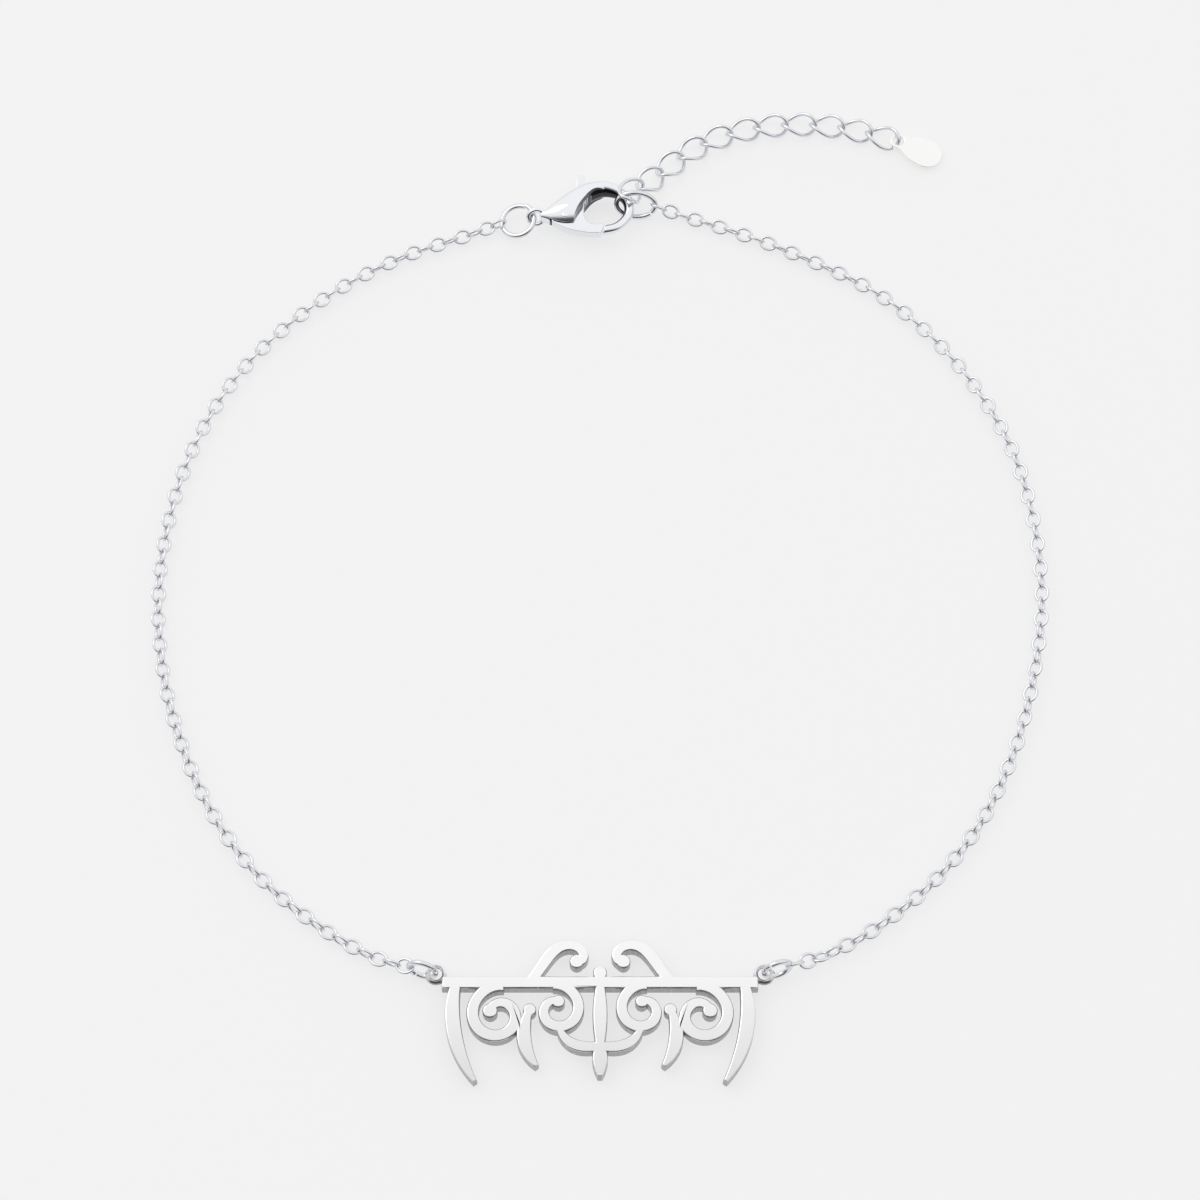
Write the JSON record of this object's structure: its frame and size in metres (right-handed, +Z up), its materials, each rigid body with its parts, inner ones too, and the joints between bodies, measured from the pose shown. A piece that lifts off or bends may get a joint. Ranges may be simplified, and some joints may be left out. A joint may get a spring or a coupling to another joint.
{
  "type": "name bracelet",
  "caption": "Fine silver bracelet laid closed: openwork bar between two runs of trace chain, lobster clasp with a sprung gate, extender chain and drop-shaped tag.",
  "frame": {"origin": "middle of the outline, on the table that the bracelet lies on", "axes": "+X to the right with the bar nearest, +Y from the bar to the clasp, +Z up off the table"},
  "size_m": [0.0615, 0.0738, 0.0022],
  "materials": {
    "bar_silver": "polished flat plate with softened edges",
    "wire_silver": "bright drawn wire",
    "clasp_silver": "high polish casting"
  },
  "bodies": {
    "bracelet": {"name_bar": "bar_silver", "jump_ring_left": "wire_silver", "jump_ring_right": "wire_silver", "chain_left": "wire_silver", "chain_right": "wire_silver", "clasp_ring": "wire_silver", "clasp_body": "clasp_silver", "clasp_pin": "clasp_silver", "end_ring": "wire_silver", "extender_link_01": "wire_silver", "extender_link_02": "wire_silver", "extender_link_03": "wire_silver", "extender_link_04": "wire_silver", "extender_link_05": "wire_silver", "extender_link_06": "wire_silver", "extender_link_07": "wire_silver", "extender_link_08": "wire_silver", "extender_link_09": "wire_silver", "extender_link_10": "wire_silver", "extender_link_11": "wire_silver", "end_tag": "wire_silver"},
    "clasp_lever": {"clasp_lever": "clasp_silver"}
  },
  "joints": [
    {"name": "clasp_gate", "type": "hinge", "parent": "bracelet", "child": "clasp_lever", "pos_m": [-0.00253, 0.02726, 0.00105], "axis": [0, 0, 1], "range_deg": [0, 22], "stiffness_Nm_per_rad": 0.002}
  ]
}
